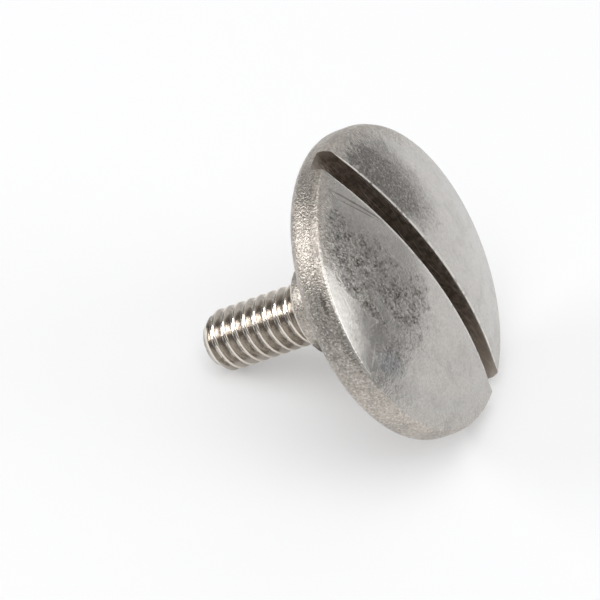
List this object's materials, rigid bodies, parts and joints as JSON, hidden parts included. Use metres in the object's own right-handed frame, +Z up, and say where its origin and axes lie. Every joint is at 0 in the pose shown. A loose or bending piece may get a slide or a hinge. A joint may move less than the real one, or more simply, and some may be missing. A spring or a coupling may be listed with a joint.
{
  "type": "slotted shoulder bolt",
  "caption": "Stainless shoulder bolt with a wide domed slotted head, a short plain shoulder and a coarse inch thread, lying on its rim and tip.",
  "frame": {"origin": "on the floor, under the middle of the lying bolt's box", "axes": "+Z up; the bolt's axis lies in the XZ plane and rises towards +X, where the head is; Y runs across the head"},
  "size_m": [0.0296, 0.0318, 0.0278],
  "materials": {
    "steel": "tumbled stainless, lightly scratched and speckled"
  },
  "bodies": {
    "root": {"shoulder_bolt": "steel"}
  },
  "joints": []
}
